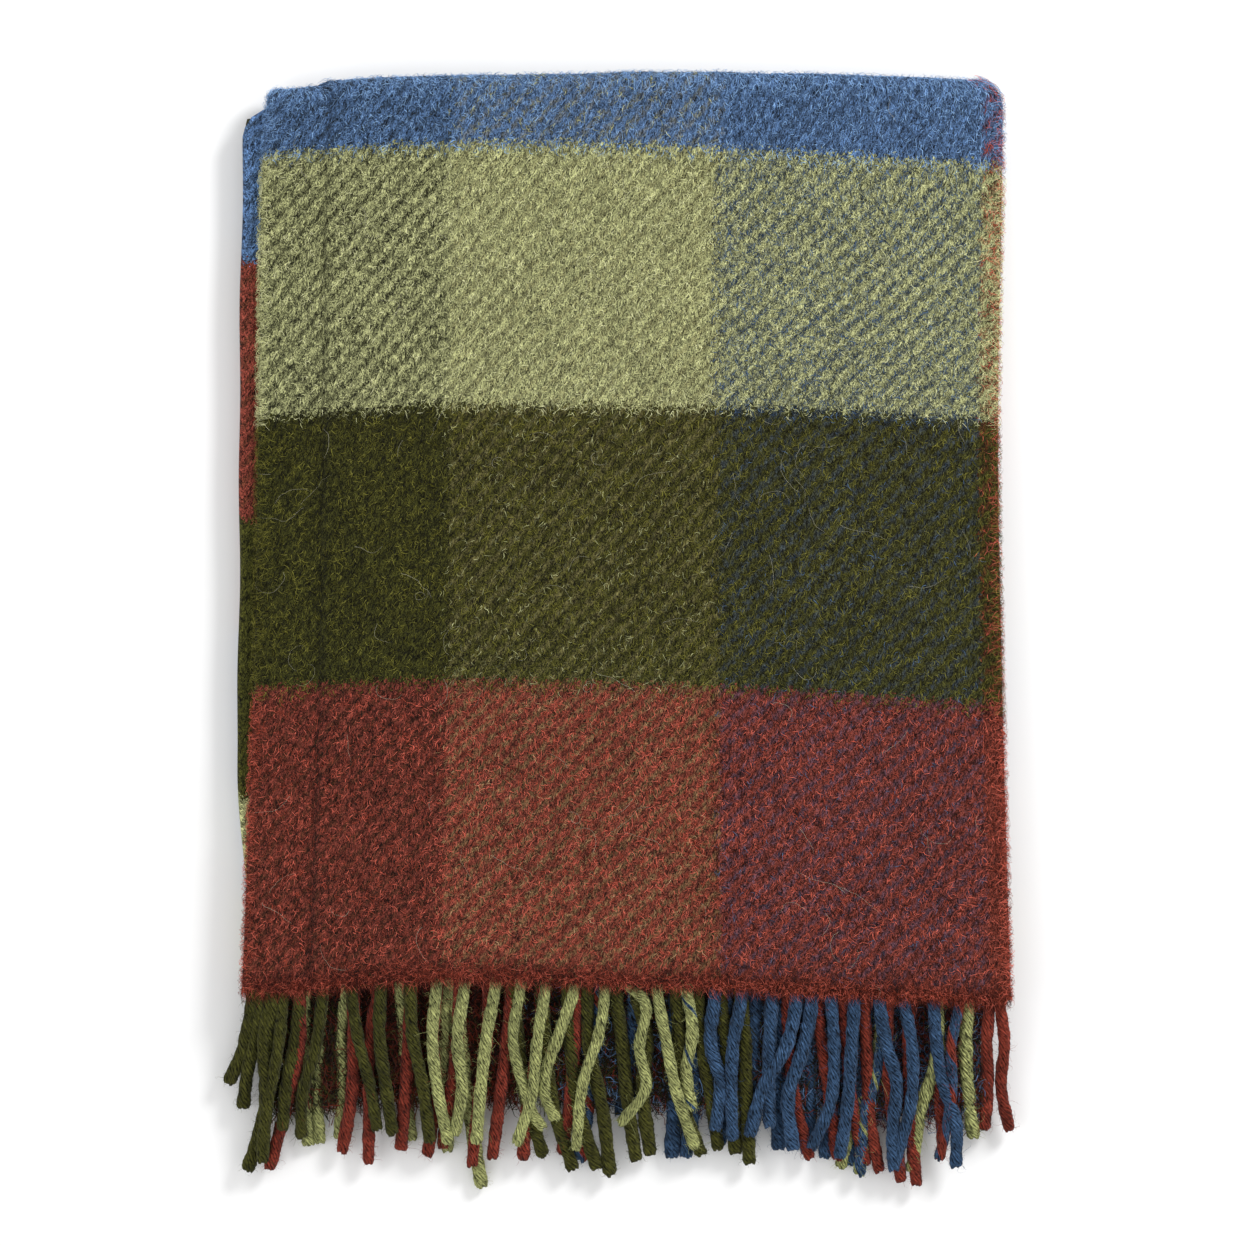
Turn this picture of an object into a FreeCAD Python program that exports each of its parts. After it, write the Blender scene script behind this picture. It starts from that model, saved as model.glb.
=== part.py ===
"""Folded wool camp blanket with twisted fringes, lying flat with its front leaf up.

The cloth is folded in thirds across its width, so that each leaf has a face and two flaps turned
in behind it, and then in thirds along its length, like a letter Z seen from the side: the back
leaf lies on the ground, the middle leaf on it, and the front leaf on top. Tassels run out of both
cut ends: the front ones past the bottom fold, the back ones shut in under the top fold.

Frame: millimetres, +Z up, +X to the right and +Y towards the top fold. The origin is the middle of
the base.
"""

import FreeCAD, Part
import os

SIZES = {
    "cloth": (3.4, "thickness of one layer of brushed cloth"),
    "layer_gap": (0.3, "air between two layers of one leaf"),
    "leaf_gap": (0.4, "air between two leaves"),
    "leaf_width": (484.0, "width of a folded leaf over its two side bends"),
    "leaf_shift": (2.8, "how far the front leaf lies right of the middle, and the others left"),
    "right_hem": (46.9, "left edge of a leaf to the hem of its right flap"),
    "left_hem": (8.8, "right edge of a leaf to the hem of its left flap"),
    "top_line": (338.5, "where the flat of the leaves ends and the top fold begins"),
    "bottom_line": (-216.4, "where the flat of the leaves ends and the bottom fold begins"),
    "front_edge": (-233.2, "cut edge of the front leaf"),
    "back_edge": (220.6, "cut edge of the back leaf"),
    "tassel_diameter": (5.8, "diameter of a tassel, pressed in the fold"),
    "tassel_length": (115.5, "length of a tassel"),
    "tassel_root": (1.5, "cut edge to the root of a tassel"),
    "tassel_pitch": (17.46, "distance from tassel to tassel"),
    "tassel_margin": (6.3, "left edge of a leaf to the first tassel of its face"),
    "tassel_lift": (2.4, "height between the rows of tassels of neighbouring layers"),
    "fringe_slope": (10.5, "degrees that the front tassels slope down from their leaf"),
}

LAYERS = {"left_flap": 0, "right_flap": 1, "face": 2}

# A leaf's level in the pile, whether its face is up, and how it lies from the middle in X.
LEAVES = {
    "back_leaf": {"level": 0, "face_up": True, "side": -1},
    "middle_leaf": {"level": 1, "face_up": False, "side": -1},
    "front_leaf": {"level": 2, "face_up": True, "side": 1},
}

# Tassels of one end in warp order from the left flap's hem, by layer and colour stripe.
FACE_TASSELS = 28
STRIPES = {
    "left_flap": [("light_green", 4), ("blue", 10), ("red", 10), ("dark_green", 3)],
    "face": [("dark_green", 7), ("light_green", 10), ("blue", 10), ("red", 1)],
    "right_flap": [("red", 9), ("dark_green", 10), ("light_green", 6)],
}
LAST_FLAP_SLOT = FACE_TASSELS - 2

document = FreeCAD.newDocument("camp_blanket")
sheet = document.addObject("Spreadsheet::Sheet", "Sizes")
for row, (alias, (value, meaning)) in enumerate(SIZES.items(), start=1):
    sheet.set(f"A{row}", meaning)
    sheet.set(f"B{row}", str(value))
    sheet.setAlias(f"B{row}", alias)
document.recompute()


def size(alias):
    """The sheet's cell of this name, as it is written in an expression."""
    return f"Sizes.{alias}"


CLOTH = size("cloth")
LAYER_PITCH = f"({CLOTH} + {size('layer_gap')})"
LEAF_THICKNESS = f"(3 * {CLOTH} + 2 * {size('layer_gap')})"
LEAF_PITCH = f"({LEAF_THICKNESS} + {size('leaf_gap')})"
BEND_RADIUS = f"({CLOTH} + {size('layer_gap')} / 2)"
X_AXIS = FreeCAD.Vector(1, 0, 0)
Y_AXIS = FreeCAD.Vector(0, 1, 0)


def bind(thing, expressions):
    """Bind each property of the object to its expression."""
    for name, expression in expressions.items():
        thing.setExpression(name, expression)


def slab(name, x, y, z):
    """A rectangular stretch of cloth between the two expressions given for each axis."""
    box = document.addObject("Part::Box", name)
    spans = {"Length": x, "Width": y, "Height": z}
    bind(box, {side: f"({high}) - ({low})" for side, (low, high) in spans.items()})
    bind(box, {f"Placement.Base.{axis}": low for axis, (low, _) in zip("xyz", (x, y, z))})
    return box


def tube(name, centre, rotation, angle, length, radii):
    """Part of a tube: the cloth of a bend, between two radii and over an angle."""
    inner, outer = radii
    rounds = []
    for part, radius in (("outside", outer), ("inside", inner)):
        if radius == "0":
            continue
        cylinder = document.addObject("Part::Cylinder", f"{name}_{part}")
        cylinder.Placement = FreeCAD.Placement(FreeCAD.Vector(), rotation)
        cylinder.Angle = angle
        bind(cylinder, {"Radius": radius, "Height": length})
        bind(cylinder, {f"Placement.Base.{axis}": at for axis, at in zip("xyz", centre)})
        rounds.append(cylinder)
    if len(rounds) == 1:
        return rounds[0]
    ring = document.addObject("Part::Cut", name)
    ring.Base, ring.Tool = rounds
    return ring


def side_bend(name, leaf, toward, y, height):
    """The bend at one side of a leaf, a half tube along Y between two neighbouring layers."""
    edge = leaf_left(leaf) if toward < 0 else leaf_right(leaf)
    centre = (f"({edge}) - ({toward}) * {BEND_RADIUS}", y[0], height)
    rotation = FreeCAD.Rotation(Y_AXIS, -90 * toward) * FreeCAD.Rotation(X_AXIS, -90)
    inner = f"{size('layer_gap')} / 2"
    return tube(name, centre, rotation, 180, f"({y[1]}) - ({y[0]})", (inner, BEND_RADIUS))


def fold_turn(at_top, upper):
    """The turn about X that points a quarter tube into its quarter of a fold."""
    if at_top:
        return 90 if upper else 0
    return 180 if upper else -90


def leaf_left(leaf):
    return f"({LEAVES[leaf]['side']}) * {size('leaf_shift')} - {size('leaf_width')} / 2"


def leaf_right(leaf):
    return f"({LEAVES[leaf]['side']}) * {size('leaf_shift')} + {size('leaf_width')} / 2"


def leaf_base(leaf):
    return f"{LEAVES[leaf]['level']} * {LEAF_PITCH}"


def layer_span(leaf, low, high):
    """Z of the layers from low to high, counted from the leaf's flap side."""
    near = f"{low} * {LAYER_PITCH}"
    far = f"{high} * {LAYER_PITCH} + {CLOTH}"
    base = leaf_base(leaf)
    if LEAVES[leaf]["face_up"]:
        return (f"{base} + {near}", f"{base} + {far}")
    return (f"{base} + {LEAF_THICKNESS} - ({far})", f"{base} + {LEAF_THICKNESS} - ({near})")


def fold_radii(low, high, flaps_inside):
    """Radii of those layers in a fold, whose centre is on the leaf's inner side."""
    if flaps_inside:
        inner = "0" if low == 0 else f"{low} * {LAYER_PITCH}"
        return (inner, f"{high} * {LAYER_PITCH} + {CLOTH}")
    inner = "0" if high == 2 else f"(2 - {high}) * {LAYER_PITCH}"
    return (inner, f"(2 - {low}) * {LAYER_PITCH} + {CLOTH}")


def leaf_span(leaf):
    """Y of the leaf's flat stretch, and which of its ends run into a fold."""
    if leaf == "front_leaf":
        return (size("front_edge"), size("top_line")), ("top",)
    if leaf == "middle_leaf":
        return (size("bottom_line"), size("top_line")), ("top", "bottom")
    return (size("bottom_line"), size("back_edge")), ("bottom",)


def stretch(name, leaf, x, low, high):
    """A strip of cloth of the layers low to high, flat and on round its leaf's folds."""
    y, folds = leaf_span(leaf)
    pieces = [slab(f"{name}_flat", x, y, layer_span(leaf, low, high))]
    for fold in folds:
        at_top = fold == "top"
        upper = (leaf == "front_leaf") if at_top else (leaf == "middle_leaf")
        inner_side = leaf_base(leaf) + ("" if upper else f" + {LEAF_THICKNESS}")
        centre = (x[0], size(f"{fold}_line"), inner_side)
        turn = FreeCAD.Rotation(X_AXIS, fold_turn(at_top, upper))
        rotation = turn * FreeCAD.Rotation(Y_AXIS, 90)
        radii = fold_radii(low, high, flaps_inside=at_top)
        width = f"({x[1]}) - ({x[0]})"
        pieces.append(tube(f"{name}_{fold}_fold", centre, rotation, 90, width, radii))
    return pieces


def join(label, pieces):
    """One solid from pieces that share faces."""
    whole = document.addObject("Part::MultiFuse", label)
    whole.Shapes = pieces
    whole.Refine = True
    whole.Label = label
    return whole


def make_face(leaf):
    """The leaf's face with both side bends. It steps down a layer past the right flap's hem."""
    left = f"{leaf_left(leaf)} + {BEND_RADIUS}"
    right = f"{leaf_right(leaf)} - {BEND_RADIUS}"
    step = f"{leaf_left(leaf)} + {size('right_hem')} - {size('layer_gap')}"
    y, _ = leaf_span(leaf)
    name = f"{leaf}_face"
    pieces = stretch(f"{name}_main", leaf, (step, right), 2, 2)
    pieces += stretch(f"{name}_low", leaf, (left, step), 1, 1)
    pieces += stretch(f"{name}_step", leaf, (f"{step} - {CLOTH}", step), 1, 2)
    middles = {}
    for toward, layer in ((-1, 0), (1, 1)):
        low, high = layer_span(leaf, layer, layer + 1)
        middles[toward] = f"({low} + {high}) / 2"
    pieces.append(side_bend(f"{name}_left_bend", leaf, -1, y, middles[-1]))
    pieces.append(side_bend(f"{name}_right_bend", leaf, 1, y, middles[1]))
    return join(name, pieces)


def make_flap(leaf, flap):
    """A flap, from its hem to the side bend that joins it to the face."""
    if flap == "left_flap":
        x = (f"{leaf_left(leaf)} + {BEND_RADIUS}", f"{leaf_right(leaf)} - {size('left_hem')}")
    else:
        x = (f"{leaf_left(leaf)} + {size('right_hem')}", f"{leaf_right(leaf)} - {BEND_RADIUS}")
    name = f"{leaf}_{flap}"
    pieces = stretch(f"{name}_strip", leaf, x, LAYERS[flap], LAYERS[flap])
    return join(name, pieces)


def tassel_slots(layer):
    """A layer's tassel places in warp order, counted in pitches from the left edge."""
    if layer == "face":
        return list(range(FACE_TASSELS))
    count = sum(number for _, number in STRIPES[layer])
    return [LAST_FLAP_SLOT - i for i in range(count)]


def make_fringe(end, leaf, layer, direction):
    """The tassels of one layer at one cut end, a group for each colour stripe.

    They are laid out level about the leaf's cut edge, and each group is then placed there and
    tipped by its slope. The rows of the three layers are staggered by a third of the pitch.
    """
    stagger = {"face": 0, "right_flap": 1, "left_flap": 2}[layer]
    slots = tassel_slots(layer)
    groups = []
    first = 0
    for colour, number in STRIPES[layer]:
        label = f"{end}_fringe_{layer}_{colour}"
        tassels = []
        for order, slot in enumerate(slots[first : first + number]):
            tassel = document.addObject("Part::Cylinder", f"{label}_{order}")
            turn = FreeCAD.Rotation(X_AXIS, -90 * direction)
            tassel.Placement = FreeCAD.Placement(FreeCAD.Vector(), turn)
            across = f"({slot} + {stagger} / 3) * {size('tassel_pitch')}"
            bind(
                tassel,
                {
                    "Radius": f"{size('tassel_diameter')} / 2",
                    "Height": size("tassel_length"),
                    "Placement.Base.x": f"{leaf_left(leaf)} + {size('tassel_margin')} + {across}",
                    "Placement.Base.y": f"{direction} * {size('tassel_root')}",
                    "Placement.Base.z": f"({LAYERS[layer]} - 1) * {size('tassel_lift')}",
                },
            )
            tassels.append(tassel)
        group = document.addObject("Part::Compound", label)
        group.Links = tassels
        group.Label = label
        group.Placement = FreeCAD.Placement(FreeCAD.Vector(), FreeCAD.Rotation(X_AXIS, 1))
        slope = size("fringe_slope") if end == "front" else "0"
        bind(
            group,
            {
                "Placement.Rotation.Angle": slope,
                "Placement.Base.y": size(f"{end}_edge"),
                "Placement.Base.z": f"{leaf_base(leaf)} + {LEAF_THICKNESS} / 2",
            },
        )
        groups.append(group)
        first += number
    return groups


nodes = []
for leaf_name in LEAVES:
    nodes.append(make_face(leaf_name))
    nodes.append(make_flap(leaf_name, "left_flap"))
    nodes.append(make_flap(leaf_name, "right_flap"))
for layer_name in LAYERS:
    nodes += make_fringe("front", "front_leaf", layer_name, -1)
    nodes += make_fringe("back", "back_leaf", layer_name, 1)
document.recompute()

for thing in document.Objects:
    faults = {"Invalid", "Error"} & set(thing.State)
    assert not faults, f"{thing.Name} is {faults}"
for node in nodes:
    assert not node.Shape.isNull(), f"{node.Label} has no shape"
    assert node.Shape.isValid(), f"{node.Label} isn't valid"

os.makedirs("parts", exist_ok=True)
for node in nodes:
    node.Shape.exportStep(f"parts/{node.Label}.step")

whole = FreeCAD.BoundBox()
for node in nodes:
    whole.add(node.Shape.BoundBox)
print(f"{len(nodes)} nodes, X {whole.XMin:.2f} to {whole.XMax:.2f},", end=" ")
print(f"Y {whole.YMin:.2f} to {whole.YMax:.2f}, Z {whole.ZMin:.2f} to {whole.ZMax:.2f}")
for node in nodes:
    print(f"{node.Label}: {len(node.Shape.Solids)} solids, {node.Shape.Volume / 1000:.1f} cm3")
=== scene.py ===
"""Looks of the folded wool camp blanket: brushed twill cloth, its nap, and its twisted tassels.

Everything is in metres in the frame of the CAD model: +Z up, +X to the right, +Y towards the top
fold. The cloth has its own coordinates: u runs across it from the left flap's hem, and v runs along
it from the front cut edge, both measured on the flat cloth.
"""

import math

import bpy
import numpy as np
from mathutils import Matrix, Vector


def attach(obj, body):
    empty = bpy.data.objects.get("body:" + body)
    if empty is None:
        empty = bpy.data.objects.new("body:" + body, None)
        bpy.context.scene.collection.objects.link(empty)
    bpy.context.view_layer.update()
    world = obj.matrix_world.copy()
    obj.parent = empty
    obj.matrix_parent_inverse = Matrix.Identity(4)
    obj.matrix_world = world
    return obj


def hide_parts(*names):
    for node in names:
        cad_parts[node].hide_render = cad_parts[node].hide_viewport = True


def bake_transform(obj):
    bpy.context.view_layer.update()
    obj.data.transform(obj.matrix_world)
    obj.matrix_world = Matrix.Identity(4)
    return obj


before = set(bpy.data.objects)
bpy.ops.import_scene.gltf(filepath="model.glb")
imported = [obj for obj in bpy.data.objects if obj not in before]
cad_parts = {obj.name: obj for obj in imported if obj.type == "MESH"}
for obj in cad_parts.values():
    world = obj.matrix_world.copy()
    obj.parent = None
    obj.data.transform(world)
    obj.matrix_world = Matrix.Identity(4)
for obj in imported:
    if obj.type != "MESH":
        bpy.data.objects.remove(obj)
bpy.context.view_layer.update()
random = np.random.default_rng(7)

# Sizes of the folded cloth, as in the CAD model.
CLOTH = 0.0034
LAYER_GAP = 0.0003
LEAF_THICKNESS = 3 * CLOTH + 2 * LAYER_GAP
LEAF_GAP = 0.0004
LEAF_PITCH = LEAF_THICKNESS + LEAF_GAP
LEAF_WIDTH = 0.484
LEAF_SHIFT = 0.0028
RIGHT_HEM = 0.0469
LEFT_HEM = 0.0088
TOP_LINE = 0.3385
BOTTOM_LINE = -0.2164
FRONT_EDGE = -0.2332
BACK_EDGE = 0.2206
TASSEL_PITCH = 0.01746
TASSEL_MARGIN = 0.0063
# Heights of the lines that the top fold and the bottom fold turn round.
TOP_CENTRE = 2 * LEAF_PITCH - LEAF_GAP / 2
LOW_CENTRE = LEAF_PITCH - LEAF_GAP / 2

# Weave: distance between neighbouring warp ends and between weft picks. Four make one repeat.
WARP_PITCH = 0.00314
WEFT_PITCH = 0.0032

YARNS = {
    "blue": (0.074, 0.140, 0.275),
    "light_green": (0.35, 0.36, 0.170),
    "dark_green": (0.044, 0.044, 0.008),
    "red": (0.172, 0.037, 0.025),
}
# Warp yarn as it shows between the picks, darkened: painted shade where it lies low between them.
WARP_SHOWN = {
    "blue": (0.030, 0.046, 0.080),
    "light_green": (0.160, 0.138, 0.056),
    "dark_green": (0.014, 0.015, 0.004),
    "red": (0.10, 0.020, 0.012),
}
NAP = {
    "blue": (0.150, 0.270, 0.480),
    "light_green": (0.640, 0.650, 0.320),
    "dark_green": (0.088, 0.082, 0.006),
    "red": (0.370, 0.057, 0.027),
}
TASSELS = {
    "blue": (0.034, 0.070, 0.136),
    "light_green": (0.300, 0.315, 0.122),
    "dark_green": (0.050, 0.050, 0.010),
    "red": (0.178, 0.030, 0.018),
}
# The fibres of each colour of nap come in four tones, from the darkest to the lightest: how light
# each tone is beside the colour in NAP.
FIBRE_TONES = {
    "blue": (0.20, 0.70, 1.35, 2.1),
    "light_green": (0.26, 0.76, 1.3, 1.6),
    "dark_green": (0.05, 0.34, 1.38, 2.75),
    "red": (0.05, 0.38, 1.25, 2.3),
}
# The share of each tone among a check's fibres: in most checks, in deep red ones, in the brightest
# ones, and among the warp's fibres.
FIBRE_SHARES = (0.30, 0.27, 0.26, 0.17)
DEEP_FIBRE_SHARES = (0.36, 0.27, 0.22, 0.15)
BRIGHT_FIBRE_SHARES = (0.20, 0.25, 0.31, 0.24)
# Most warps' fibres lean to the dark tones: painted shade for the warp lying low between the picks.
WARP_FIBRE_SHARES = {
    "blue": (0.75, 0.25, 0.0, 0.0),
    "light_green": (0.50, 0.42, 0.08, 0.0),
    "dark_green": (0.85, 0.15, 0.0, 0.0),
    "red": (0.15, 0.45, 0.30, 0.10),
    "felted": (0.20, 0.50, 0.25, 0.05),
}
# Painted highlight: the grey that each tone gains for the glints of light on wool fibres, and the
# colours that gain less of it.
PAINTED_FIBRE_GLINT = (0.0, 0.0, 0.012, 0.065)
PAINTED_GLINT_GAIN = {"dark_green": 0.4}
# How much of these wefts' colour is felted into the light green warp where it shows.
FELTED = {"red": 0.62}
TONES = len(PAINTED_FIBRE_GLINT)
COLOURS = list(NAP)
RED = COLOURS.index("red")

# Where each stripe of warp and each band of weft ends.
WARP_ENDS = (0.0707, 0.2457, 0.4207, 0.5957, 0.7707, 0.9457, 1.1207, 1.2957, 1.45)
WEFT_ENDS = (0.1860, 0.3666, 0.5320, 0.6819, 0.8485, 1.0245, 1.1995, 1.3745, 1.5495, 1.70)


def in_turn(ends, *names):
    """Each end with its colour. The colours repeat in the order of the names."""
    return [(end, names[i % len(names)]) for i, end in enumerate(ends)]


WARP_STRIPES = in_turn(WARP_ENDS, "light_green", "blue", "red", "dark_green")
WEFT_BANDS = in_turn(WEFT_ENDS, "red", "dark_green", "light_green", "blue")


# ---------------------------------------------------------------- camera, light and floor

# Width of the view at the height of the blanket's top.
FRAME_WIDTH = 0.7987
CAMERA_AT = (-0.0026, 0.0002, 3.0)
SENSOR = 36.0
FLOOR_REACH = 30
FLOOR_WHITE = 0.96
SKY = 0.80


def add_object(name, data):
    thing = bpy.data.objects.new(name, data)
    bpy.context.scene.collection.objects.link(thing)
    return thing


def add_camera():
    data = bpy.data.cameras.new("camera")
    data.sensor_width = SENSOR
    data.lens = SENSOR * (CAMERA_AT[2] - 3 * LEAF_PITCH) / FRAME_WIDTH
    camera = add_object("camera", data)
    camera.location = CAMERA_AT
    bpy.context.scene.camera = camera


def add_area(name, location, size, power):
    """A round lamp that points at the origin."""
    data = bpy.data.lights.new(name, "AREA")
    data.shape = "DISK"
    data.size = size
    data.energy = power
    light = add_object(name, data)
    light.location = location
    light.rotation_mode = "QUATERNION"
    light.rotation_quaternion = Vector(location).to_track_quat("Z", "Y")


def add_floor():
    g = Graph("floor")
    g.fill(g.shader, Base_Color=rgba([FLOOR_WHITE] * 3), Roughness=1, Specular_IOR_Level=0)
    far = FLOOR_REACH
    corners = [(-far, -far, 0), (far, -far, 0), (far, far, 0), (-far, far, 0)]
    floor, _ = mesh_object("floor", corners, [np.array([[0, 1, 2, 3]])], [g.material])


def add_light():
    world = bpy.data.worlds.new("studio")
    world.use_nodes = True
    background = world.node_tree.nodes["Background"]
    background.inputs["Color"].default_value = (1, 1, 1, 1)
    background.inputs["Strength"].default_value = SKY
    bpy.context.scene.world = world
    add_area("key", (1.3, 1.3, 1.5), 0.7, 31)
    add_area("fill", (-1.6, -0.6, 2.2), 1.6, 9)
    bpy.context.scene.view_settings.view_transform = "Standard"


# ---------------------------------------------------------------- the shape of the folded cloth


def smooth(t):
    """From 0 to 1 as t goes from 0 to 1, level at both ends."""
    t = np.clip(t, 0, 1)
    return t * t * (3 - 2 * t)


def travelled(points):
    """How far along a line through the points each of them lies."""
    return np.concatenate([[0], np.cumsum(np.linalg.norm(np.diff(points, axis=0), axis=1))])


def unit(vectors, least=0.0):
    """The vectors at length 1, where least keeps one without length from dividing by zero."""
    return vectors / (np.linalg.norm(vectors, axis=-1, keepdims=True) + least)


def arc(centre, radius, start, end, count):
    """Points on an arc in the section, angles in degrees, without its first point."""
    angles = np.radians(np.linspace(start, end, count + 1)[1:])
    return [(centre[0] + radius * math.cos(a), centre[1] + radius * math.sin(a)) for a in angles]


def run(start, end, height, pitch):
    """Points on a straight run of the section, without its first point."""
    count = max(1, round(abs(end - start) / pitch))
    return [(x, height) for x in np.linspace(start, end, count + 1)[1:]]


# Heights of the middles of a leaf's three layers, the radius of the folds between two of them, and
# where across the leaf its face climbs over the right flap's hem.
HEIGHTS = [(layer + 0.5) * CLOTH + layer * LAYER_GAP for layer in range(3)]
BEND = (HEIGHTS[1] - HEIGHTS[0]) / 2
BEND_EDGE = BEND + CLOTH / 2
BEND_POINTS = 6
STEP = (RIGHT_HEM - 0.0055, RIGHT_HEM + 0.0015)
STEP_POINTS = 5
FLAP_PITCH = 0.014
# How the cloth thins out to its edges: distances from a hem and from a cut edge, and the share of
# the thickness at each.
HEM_ROUND = (0.0, 0.0012, 0.003)
CUT_ROUND = (0.0, 0.0007, 0.0018)
ROUND_SHARES = (0.35, 0.8, 1.0)


def section():
    """A leaf's section across the cloth: u, x from the leaf's left edge, height, and the normal."""
    low, middle, high = HEIGHTS
    left, right = BEND_EDGE, LEAF_WIDTH - BEND_EDGE
    hem = LEAF_WIDTH - LEFT_HEM
    points = [(hem - inward, low) for inward in HEM_ROUND]
    points += run(hem - HEM_ROUND[-1], left, low, FLAP_PITCH)
    points += arc((left, (low + middle) / 2), BEND, 270, 90, BEND_POINTS)
    points += run(left, STEP[0], middle, WARP_PITCH)
    for share in np.linspace(0, 1, STEP_POINTS + 1)[1:]:
        x = STEP[0] + share * (STEP[1] - STEP[0])
        points.append((x, middle + smooth(share) * (high - middle)))
    points += run(STEP[1], right, high, WARP_PITCH)
    points += arc((right, (middle + high) / 2), BEND, 90, -90, BEND_POINTS)
    points += run(right, RIGHT_HEM + HEM_ROUND[-1], middle, FLAP_PITCH)
    points += [(RIGHT_HEM + inward, middle) for inward in HEM_ROUND[1::-1]]
    points = np.array(points)
    u = travelled(points)
    tangent = unit(np.gradient(points, u, axis=0))
    normal = np.stack([-tangent[:, 1], tangent[:, 0]], axis=1)
    return {"u": u, "x": points[:, 0], "h": points[:, 1], "nx": normal[:, 0], "nh": normal[:, 1]}


SECTION = section()
CLOTH_WIDTH = SECTION["u"][-1]
# The face begins and ends about halfway round its folds.
FACE_START = float(SECTION["u"][SECTION["h"] > HEIGHTS[0] + BEND][0])
FACE_END = float(SECTION["u"][SECTION["h"] > HEIGHTS[1] + BEND + 0.00005][-1])


def across(u, key):
    return np.interp(u, SECTION["u"], SECTION[key])


def face_share(u, margin=0.02):
    """1 on the face of a leaf and 0 on its flaps, smooth between."""
    return smooth((u - FACE_START) / margin) * smooth((FACE_END - u) / margin)


# Soft waves in the top layer, long and short ones: range of lengths, height, how many.
WAVE_KINDS = [((0.12, 0.26), 0.00042, 5), ((0.03, 0.07), 0.00011, 9)]
WAVES = [
    (random.uniform(*lengths), random.uniform(0, math.pi), random.uniform(0, math.tau), height)
    for lengths, height, count in WAVE_KINDS
    for _ in range(count)
]
SWELL_MIDDLE = 0.0009
SWELL_MOST = 0.0024


def swell(u, v):
    """How far the top layer stands off the one below, in soft hollows and swellings."""
    total = np.zeros(np.broadcast(u, v).shape)
    for length, turn, phase, height in WAVES:
        way = (u * math.cos(turn) + v * math.sin(turn)) / length
        total += height * np.sin(math.tau * way + phase)
    return np.clip(total + SWELL_MIDDLE, 0, SWELL_MOST) * face_share(u, 0.035)


TWILL_RIDGE = 0.00004
NAP_LUMP = 0.00014


def diagonals(u, v):
    """The diagonals of the twill, from 1 in the middle of the warp's to -1 in the weft's."""
    return np.cos(math.tau * (u / WARP_PITCH - v / WEFT_PITCH) / 4)


def relief(u, v):
    """The ridges of the twill and the lumps of the felted nap."""
    lumps = np.sin(u * 1310 + 2 * np.sin(v * 470)) * np.sin(v * 1130 + 2 * np.sin(u * 530))
    return NAP_LUMP * lumps - TWILL_RIDGE * diagonals(u, v)


# How the top leaf lies: at these places across (x) and along (y), how far the cloth is moved.
LIE_X = np.array([-0.236, -0.118, 0.008, 0.111, 0.229])
LIE_Y = np.array([-0.2332, -0.0473, 0.1335, 0.2989, 0.349])
LIE_ALONG = 0.001 * np.array(
    [
        [-3.5, 6.5, 3.0, -1.5, -8.5],
        [0.0, 4.5, 2.0, -2.5, -11.0],
        [-6.0, 2.0, 1.0, -1.0, -7.5],
        [-2.0, 3.2, 1.9, -3.2, -10.3],
        [-5.0, 3.7, 6.6, 5.3, 0.0],
    ]
)
LIE_LEFT = 0.001 * np.array([-8.3, -0.9, 2.4, 5.5, 8.7])
LIE_RIGHT = 0.001 * np.array([1.5, -3.6, -6.8, -4.2, -3.6])
# Radii of the top leaf's two upper corners and of the one below that shows beside it, and the
# share of the width that each takes up.
CORNERS = {"left": (0.009, 0.08), "right": (0.016, 0.1), "under": (0.022, 0.1)}
TOP_EDGE = {"front": 0.3493, "under": 0.333}


def spline(at, knots, values):
    """A smooth curve through values at the knots (Catmull-Rom), for arrays of places."""
    at = np.clip(at, knots[0], knots[-1])
    slopes = np.gradient(values, knots, axis=0)
    i = np.clip(np.searchsorted(knots, at) - 1, 0, len(knots) - 2)
    width = knots[i + 1] - knots[i]
    t = (at - knots[i]) / width
    if values.ndim > 1:
        t, width = t[..., None], width[..., None]
    a, b = values[i], values[i + 1]
    ma, mb = slopes[i] * width, slopes[i + 1] * width
    t2, t3 = t * t, t * t * t
    first = (2 * t3 - 3 * t2 + 1) * a + (t3 - 2 * t2 + t) * ma
    return first + (3 * t2 - 2 * t3) * b + (t3 - t2) * mb


def corner(name, y, end, share):
    """How far the side edge of the cloth comes in where it rounds a corner at that end."""
    radius, reach = CORNERS[name]
    depth = np.clip((y - (end - radius)) / radius, 0, 1)
    return radius * (1 - np.sqrt(1 - 0.98 * depth * depth)) * smooth(1 - share / reach)


def lie_front(x, y):
    """Where the top leaf's point (x, y) really lies."""
    rows = spline(np.broadcast_to(x, np.broadcast(x, y).shape).copy(), LIE_X, LIE_ALONG.T)
    along = np.zeros(rows.shape[:-1])
    row = np.clip(y, LIE_Y[0], LIE_Y[-1])
    for r in range(len(LIE_Y)):
        weight = spline(row, LIE_Y, np.eye(len(LIE_Y))[r])
        along += weight * rows[..., r]
    left, right = spline(row, LIE_Y, LIE_LEFT), spline(row, LIE_Y, LIE_RIGHT)
    share = np.clip((x + LEAF_WIDTH / 2 - LEAF_SHIFT) / LEAF_WIDTH, 0, 1)
    inset = corner("left", y, TOP_EDGE["front"], share)
    inset = inset - corner("right", y, TOP_EDGE["front"], 1 - share)
    return x + left * (1 - share) + right * share + inset, y + along


def lie_under(x, y):
    """Where a point of the middle or back leaf lies."""
    share = np.clip((x + LEAF_WIDTH / 2 + LEAF_SHIFT) / LEAF_WIDTH, 0, 1)
    drift = 0.0009 * np.sin(y * 19 + 1.3) + 0.0005 * np.sin(y * 53)
    lean = -0.0034 - 0.0030 * smooth((0.25 - y) / 0.3) + 0.0075 * smooth((-0.09 - y) / 0.09)
    inset = corner("under", y, TOP_EDGE["under"], share)
    return x + (lean + drift) * (1 - share) - 0.005 * share + inset, y


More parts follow.
